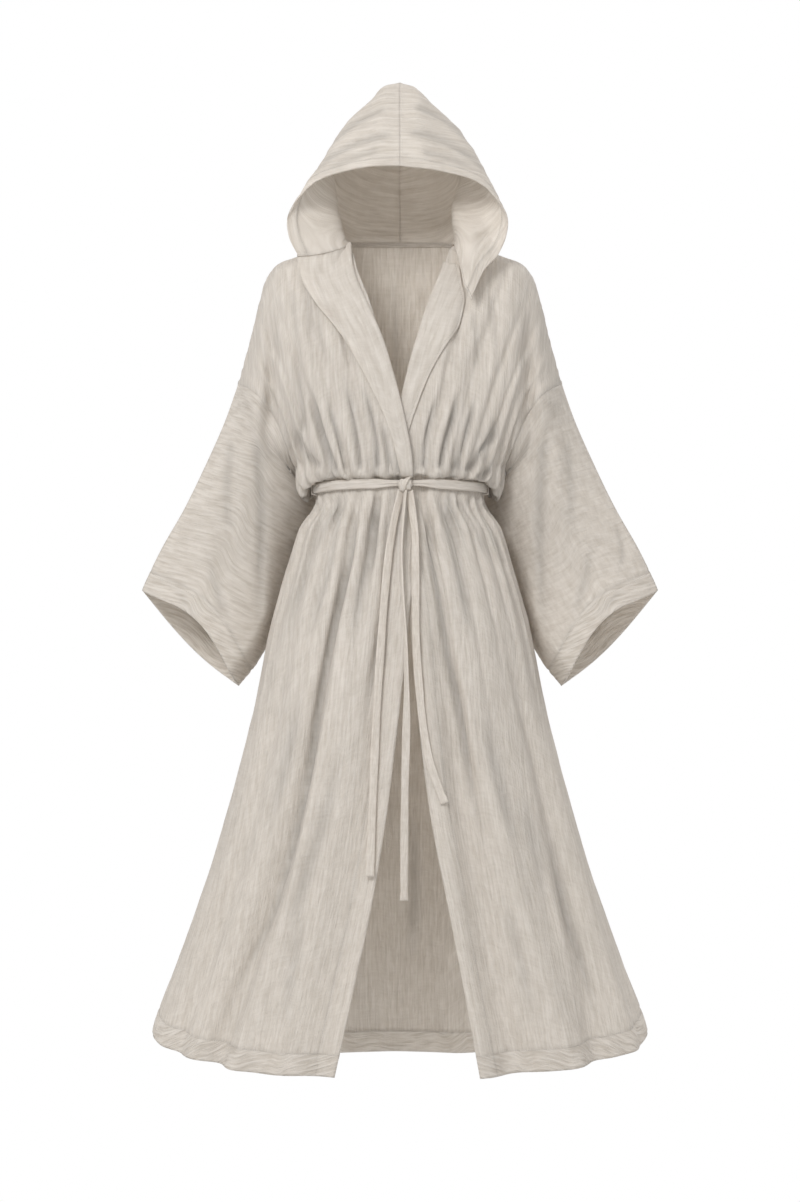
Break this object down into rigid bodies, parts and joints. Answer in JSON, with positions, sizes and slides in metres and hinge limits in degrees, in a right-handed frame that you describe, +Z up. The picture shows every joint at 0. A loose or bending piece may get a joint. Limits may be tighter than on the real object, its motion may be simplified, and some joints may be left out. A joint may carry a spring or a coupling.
{
  "type": "hooded kimono robe",
  "caption": "Hooded wrap kimono robe in crinkled cotton gauze, with wide sleeves, a shawl lapel and a tied narrow belt, filled out as worn.",
  "frame": {"origin": "the middle of the shoulders at the height of the side of the neck, where the wearer's shoulders hold the robe", "axes": "+Z up towards the hood, -Y out of the wearer's front, +X towards the wearer's left"},
  "size_m": [0.8018, 0.4175, 1.5333],
  "materials": {
    "gauze": "crinkled unbleached cotton double gauze, matt, oatmeal",
    "trim": "the same cloth sewn into narrow flat cords, matt"
  },
  "bodies": {
    "root": {"back": "gauze", "front_right": "gauze", "front_left": "gauze", "sleeve_right": "gauze", "sleeve_left": "gauze", "hood_right": "gauze", "hood_left": "gauze", "lapel_right": "gauze", "lapel_left": "gauze", "belt": "trim", "belt_knot": "trim", "belt_loop_right": "trim", "belt_loop_left": "trim", "tie_right": "trim", "tie_centre": "trim", "tie_left": "trim"}
  },
  "joints": []
}
